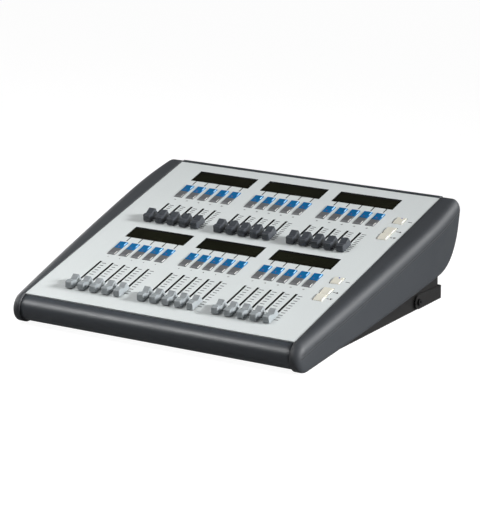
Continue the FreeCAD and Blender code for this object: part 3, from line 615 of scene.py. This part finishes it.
CAP_CLEAR = 1.0
GRIP_RIBS = 6
GRIP_RIB_HALF = 0.32
GRIP_RIB_ROOT = 0.5
GRIP_RIB_RISE = 0.22
SLOPE_GROOVES = 4
LEVER_HALF = (0.6, 2.5)
LEVER_FOOT = -9.0


def ridged(start, stop, count, depth):
    """Points from start to stop with count shallow grooves across the slope."""
    run = Vector((stop[0] - start[0], stop[1] - start[1]))
    inward = Vector((run.y, -run.x)).normalized() * depth
    points = []
    for i in range(count):
        for step, sunk in ((0.15, 0), (0.5, 1), (0.85, 0)):
            points.append(tuple(Vector(start) + run * ((i + step) / count) + inward * sunk))
    return points


def cap_mesh(name, shape):
    """One fader cap with its lever, drawn with the lever on the origin.

    Seen from the side: a blunt front block with a small lip, a finger dip, a grooved slope up to the
    crest and a steep back.
    """
    bm = bmesh.new()
    front, top, lip, dip, crest, foot = (
        shape[k] for k in ("front", "top", "lip", "dip", "crest", "foot")
    )
    profile = (
        [front, top, (top[0] + 0.9, top[1] + 0.5), (lip[0] - 1.0, lip[1] + 0.1), lip]
        + [(lip[0] + 0.8, lip[1] - 0.7)]
        + curve_between((lip[0] + 0.8, lip[1] - 0.7), dip, 0.25, 5)
        + [dip]
        + ridged(dip, crest, SLOPE_GROOVES, shape["groove"])
        + [crest, (crest[0] + 1.1, crest[1] - 0.1), foot, (foot[0], CAP_CLEAR)]
        + [(front[0] + 0.9, CAP_CLEAR)]
    )
    base, upper = shape["width"] / 2, shape["top_width"] / 2

    def half(w):
        return base + (upper - base) * min(1.0, max(0.0, (w - 3.0) / (top[1] - 3.0)))

    prism(bm, profile, half)

    # Upright grip ribs on the front block.
    span = shape["top_width"] - 2.0
    lean = (top[0] - front[0]) / (top[1] - front[1])
    low, high = front[1] + 0.9, top[1] - 1.0
    nearer = front[0] + lean * (low - front[1])
    further = front[0] + lean * (high - front[1])
    rib = [
        (nearer + GRIP_RIB_ROOT, low),
        (nearer - GRIP_RIB_RISE, low),
        (further - GRIP_RIB_RISE, high),
        (further + GRIP_RIB_ROOT, high),
    ]
    for i in range(GRIP_RIBS):
        x = -span / 2 + span * i / (GRIP_RIBS - 1)
        prism(bm, rib, lambda w: GRIP_RIB_HALF, (x, 0, 0))
    across, along = LEVER_HALF
    box(bm, (-across, -along, LEVER_FOOT), (across, along, CAP_CLEAR + 0.5), 1)
    return to_mesh(name, bm, Matrix.Identity(4))


LOWER_CAP = {
    "front": (-12.3, 1.8),
    "top": (-10.6, 9.3),
    "lip": (-4.4, 9.8),
    "dip": (1.4, 7.2),
    "crest": (7.8, 11.0),
    "foot": (11.6, 3.2),
    "groove": 0.5,
    "width": 10.0,
    "top_width": 9.2,
    "soft": 0.5,
}
UPPER_CAP = {
    "front": (-11.4, 1.4),
    "top": (-10.2, 9.9),
    "lip": (-5.0, 10.3),
    "dip": (-1.4, 9.9),
    "crest": (5.6, 12.6),
    "foot": (9.4, 4.6),
    "groove": 0.14,
    "width": 10.8,
    "top_width": 10.4,
    "soft": 0.3,
}
LOWER_REST = -64.0
UPPER_REST = 122.0


def fader_set(place, shape, rest, finish):
    """Fifteen caps of one row, each on its own lever."""
    mesh = cap_mesh(f"fader_cap_{place}", shape)
    for number, x in columns():
        node = f"fader_{place}_{number + 1:02d}"
        own = mesh.copy()
        own.transform(PANEL @ Matrix.Translation((x, rest, 0)))
        cap = add_piece(node + "_cap", own, [finish, "steel"], node, [node])
        soften(cap, shape["soft"], 3, 46.0)


fader_set("lower", LOWER_CAP, LOWER_REST, "silver")
fader_set("upper", UPPER_CAP, UPPER_REST, "charcoal")


# Printing and painted shade on the panel


PRINT = 0.05
TICKS = 11
TICK_SPANS = ((-64.0, -4.0), (117.0, 162.0))
TICK_OFFSET = 7.3
TICK_HALF = 0.6
LONG_TICK = 3.3
SHORT_TICK = 2.9
SLOT_SPANS = ((-68.0, 0.0), (113.0, 166.0))
SLOT_HALF = 1.0
# Painted shade: black strips beside each slot stand for the shade inside the slot.
SLOT_SHADE_WIDTH = 0.7
SLOT_END = 0.35
NUMBER_SIZE = 3.0
NUMBER_ROWS = ((1, 13.0), (16, 178.8))
ARROW_OFFSET = 15.5
ARROW_HEIGHT = 8.0
ARROW_SIZE = 2.2
MASK_FOOT = -0.85
MASK_TOP = -0.74
# Painted shade: the wide back strip stands for the shadow of the display opening's back wall.
BACK_SHADE_BAND = 3.2
MASK_LEFT = 1.4
MASK_RIGHT = 1.0
DISPLAY_LINE = (57.2, 67.4)
DISPLAY_LINE_SHIFT = 0.6
DISPLAY_LINE_HALF = 0.8
DASH_HALF = 0.6


def strip(bm, left, front, right, back, material=0):
    """A thin printed rectangle, also used for the painted shade strips."""
    box(bm, (left, front, -0.02), (right, back, PRINT), material)


def write(bm, text, x, v, size):
    """Adds small numbers centred at x, v."""
    curve = bpy.data.curves.new("number", "FONT")
    curve.body = text
    curve.size = size
    curve.align_x = "CENTER"
    curve.align_y = "CENTER"
    curve.resolution_u = 3
    curve.offset = 0.12
    holder = bpy.data.objects.new("number", curve)
    mesh = bpy.data.meshes.new_from_object(holder)
    mesh.transform(Matrix.Translation((x, v, PRINT)))
    bm.from_mesh(mesh)
    bpy.data.objects.remove(holder)
    bpy.data.curves.remove(curve)
    bpy.data.meshes.remove(mesh)


def triangle(bm, x, v, size, turn):
    """A printed arrow head, pointing back for turn 1 and forward for turn -1."""
    points = [(-1, -0.7), (1, -0.7), (0, 0.9)]
    corners = [bm.verts.new((x + a * size, v + b * size * turn, PRINT)) for a, b in points]
    bm.faces.new(corners if turn > 0 else list(reversed(corners)))


def graduations():
    """Eleven marks beside each fader slot."""
    bm = bmesh.new()
    for front, back in TICK_SPANS:
        for _, x in columns():
            middle = x + TICK_OFFSET
            for i in range(TICKS):
                v = front + (back - front) * i / (TICKS - 1)
                reach = LONG_TICK if i in (0, TICKS // 2, TICKS - 1) else SHORT_TICK
                strip(bm, middle - reach, v - TICK_HALF, middle + reach, v + TICK_HALF)
    mesh = to_mesh("panel_graduations", bm, PANEL)
    add_piece("panel_graduations", mesh, ["ink_light"], "chassis")


def display_lines(bm):
    """A line from each blue key to its display."""
    front, back = DISPLAY_LINE
    for row in ROWS.values():
        for _, x in columns():
            middle = x + KEY_SHIFT + DISPLAY_LINE_SHIFT
            left, right = middle - DISPLAY_LINE_HALF, middle + DISPLAY_LINE_HALF
            strip(bm, left, row + front, right, row + back, material=1)


def slot_shade_strips(bm):
    """Painted shade: a black strip down both sides of each fader slot, so the slot reads wider and
    darker.
    """
    for front, back in SLOT_SPANS:
        for _, x in columns():
            for left in (x - SLOT_HALF - SLOT_SHADE_WIDTH, x + SLOT_HALF):
                strip(bm, left, front - SLOT_END, left + SLOT_SHADE_WIDTH, back + SLOT_END, material=1)


def column_numbers(bm):
    """The numbers 1 to 30, in front of the keys."""
    for number, x in columns():
        for first, v in NUMBER_ROWS:
            write(bm, str(number + first), x + KEY_SHIFT, v, NUMBER_SIZE)


def dash(bm, left, right, v):
    strip(bm, left, v - DASH_HALF, right, v + DASH_HALF)


def page_marks(bm):
    """Arrows beside the middle and bottom page keys, and a dash beside all three."""
    for across, along in PAGE_STEP.values():
        x = PAGE_COLUMN + across + ARROW_OFFSET
        for name, turn in (("middle", 1), ("bottom", -1)):
            v = along + PAGE_STARTS[name] + ARROW_HEIGHT
            triangle(bm, x, v, ARROW_SIZE, turn)
        for name in ("middle", "bottom"):
            dash(bm, x - 6.0, x - 2.6, along + PAGE_STARTS[name] + ARROW_HEIGHT - 0.1)
        dash(bm, x - 3.0, x + 3.0, along + PAGE_STARTS["top"] + ARROW_HEIGHT)


def display_masks(bm):
    """The black mask round each display; its wide strip along the back is painted shade for the back
    wall of the recessed opening.
    """
    for row in ROWS.values():
        for bank in range(BANKS):
            left = FIRST_COLUMN + bank * BANK_PITCH - DISPLAY_LEFT
            right = left + DISPLAY_WIDTH
            front = row + DISPLAY_START
            back = front + DISPLAY_LENGTH
            for low, high in (
                ((left, back - BACK_SHADE_BAND), (right, back - 0.1)),
                ((left, front), (left + MASK_LEFT, back - BACK_SHADE_BAND)),
                ((right - MASK_RIGHT, front), (right, back - BACK_SHADE_BAND)),
            ):
                box(bm, (*low, MASK_FOOT), (*high, MASK_TOP), 1)


def panel_print_and_shade():
    """All the other printing on the panel, with the painted shade strips, in one piece."""
    bm = bmesh.new()
    display_lines(bm)
    slot_shade_strips(bm)
    column_numbers(bm)
    page_marks(bm)
    display_masks(bm)
    mesh = to_mesh("panel_print_and_shade", bm, PANEL)
    add_piece("panel_print_and_shade", mesh, ["ink", "mask"], "chassis")


graduations()
panel_print_and_shade()


# ---------------------------------------------------------------- CAD nodes

for node, finish in CAD_FINISH.items():
    dress(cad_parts[node], finish)

FACE_FRONT = -102
FACE_BACK = 279
FACE_HALF = 205
FACE_LEVEL = -0.5


def blacken_cut_edges(panel):
    """Paints the cut edges and the underside of the panel sheet black as painted shade, so slots and
    gaps read dark.
    """
    panel.data.materials.append(MATERIALS["panel_cut_shade"])
    face_up = PANEL.to_3x3().normalized() @ Vector((0, 0, 1))
    to_panel = PANEL.inverted() @ panel.matrix_world
    turn_to_world = panel.matrix_world.to_3x3().normalized()
    for polygon in panel.data.polygons:
        upward = (turn_to_world @ polygon.normal).dot(face_up) > 0.9
        spot = to_panel @ polygon.center
        rim = spot.y < FACE_FRONT or spot.y > FACE_BACK or abs(spot.x) > FACE_HALF
        if not rim and (not upward or spot.z < FACE_LEVEL):
            polygon.material_index = 1


blacken_cut_edges(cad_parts["top_panel"])


# ---------------------------------------------------------------- stage, light and camera

FLOOR_SIZE = 30.0
WORLD_FILL = 0.13
FLOOR_BOUNCE = 0.12
FLOOR_GLOW = 0.95
WHITE = (1.0, 1.0, 1.0, 1.0)
CAMERA_AZIMUTH = 32.727
CAMERA_ELEVATION = 15.5985
CAMERA_ROLL = 0.5605
CAMERA_DISTANCE = 3.35984
CAMERA_TARGET = Vector((0.00511, 0.00785, 0.07602))
CAMERA_LENS = 179.67
CAMERA_SENSOR = 36.0


def floor_paper():
    """White paper that looks bright to the camera and throws little light on the object."""
    n = Nodes("floor_paper")
    cloud = n.ramp(n.noise(3.0, 3.0), 0.0, 1.0)
    seen = n.add("ShaderNodeLightPath").outputs["Is Camera Ray"]
    return n.finish(
        color=n.mix(cloud, srgb(120, 120, 120), srgb(124, 124, 124)),
        rough=0.9,
        spec=0.0,
        glow=WHITE,
        glow_strength=n.ramp(seen, FLOOR_BOUNCE, FLOOR_GLOW),
    )


def lay_floor():
    half = FLOOR_SIZE / 2
    corners = [(-half, -half, 0), (half, -half, 0), (half, half, 0), (-half, half, 0)]
    mesh = bpy.data.meshes.new("floor")
    mesh.from_pydata(corners, [], [(0, 1, 2, 3)])
    mesh.materials.append(floor_paper())
    floor = bpy.data.objects.new("floor", mesh)
    bpy.context.scene.collection.objects.link(floor)


def hang_sky():
    """A world that is white to the camera and a dim grey fill for everything else."""
    world = bpy.data.worlds.new("studio")
    world.use_nodes = True
    sky = world.node_tree
    seen = sky.nodes.new("ShaderNodeLightPath")
    tone = sky.nodes.new("ShaderNodeMix")
    tone.data_type = "RGBA"
    tone.inputs[6].default_value = (WORLD_FILL, WORLD_FILL, WORLD_FILL, 1.0)
    tone.inputs[7].default_value = WHITE
    sky.links.new(seen.outputs["Is Camera Ray"], tone.inputs[0])
    sky.links.new(tone.outputs[2], sky.nodes["Background"].inputs["Color"])
    bpy.context.scene.world = world


def softbox(name, position, target, size, power, spread=180, diffuse=True, glossy=True):
    """A rectangular area light aimed at a target, in metres, watts and degrees of spread."""
    light = bpy.data.lights.new(name, "AREA")
    light.shape = "RECTANGLE"
    light.size, light.size_y = size
    light.energy = power
    light.spread = math.radians(spread)
    obj = bpy.data.objects.new(name, light)
    bpy.context.scene.collection.objects.link(obj)
    obj.location = position
    obj.rotation_euler = (Vector(target) - Vector(position)).to_track_quat("-Z", "Y").to_euler()
    obj.visible_diffuse = diffuse
    obj.visible_glossy = glossy


def set_lights():
    """A key from the right, a weak overhead, and three boxes that only show as sheens."""
    softbox("front_left", (-0.85, -1.15, 0.95), (-0.05, -0.15, 0.03), (1.3, 0.3), 20, diffuse=False)
    softbox("overhead", (-0.4, -0.45, 0.85), (-0.1, -0.15, 0.05), (0.6, 0.5), 5, glossy=False)
    softbox("right_key", (4.0, 0.3, 1.75), (0.0, -0.45, 0.05), (1.1, 0.9), 19, spread=40)
    softbox("left_white", (-1.6, 0.3, 0.45), (0.0, 0.0, 0.05), (1.6, 0.9), 14, diffuse=False)
    softbox("right_back", (1.25, 1.45, 1.3), (0.1, 0.0, 0.05), (1.2, 1.0), 36, diffuse=False)


def set_camera():
    """A long lens to the front right, a little above the desk."""
    azimuth = math.radians(CAMERA_AZIMUTH)
    elevation = math.radians(CAMERA_ELEVATION)
    flat = math.cos(elevation)
    back = Vector((math.sin(azimuth) * flat, -math.cos(azimuth) * flat, math.sin(elevation)))
    roll = Matrix.Rotation(math.radians(-CAMERA_ROLL), 3, "Z").to_quaternion()
    data = bpy.data.cameras.new("camera")
    data.lens = CAMERA_LENS
    data.sensor_width = CAMERA_SENSOR
    camera = bpy.data.objects.new("camera", data)
    bpy.context.scene.collection.objects.link(camera)
    camera.location = CAMERA_TARGET + back * CAMERA_DISTANCE
    camera.rotation_mode = "QUATERNION"
    camera.rotation_quaternion = (-back).to_track_quat("-Z", "Y") @ roll
    bpy.context.scene.camera = camera


lay_floor()
hang_sky()
set_lights()
set_camera()
bpy.context.scene.view_settings.view_transform = "Standard"
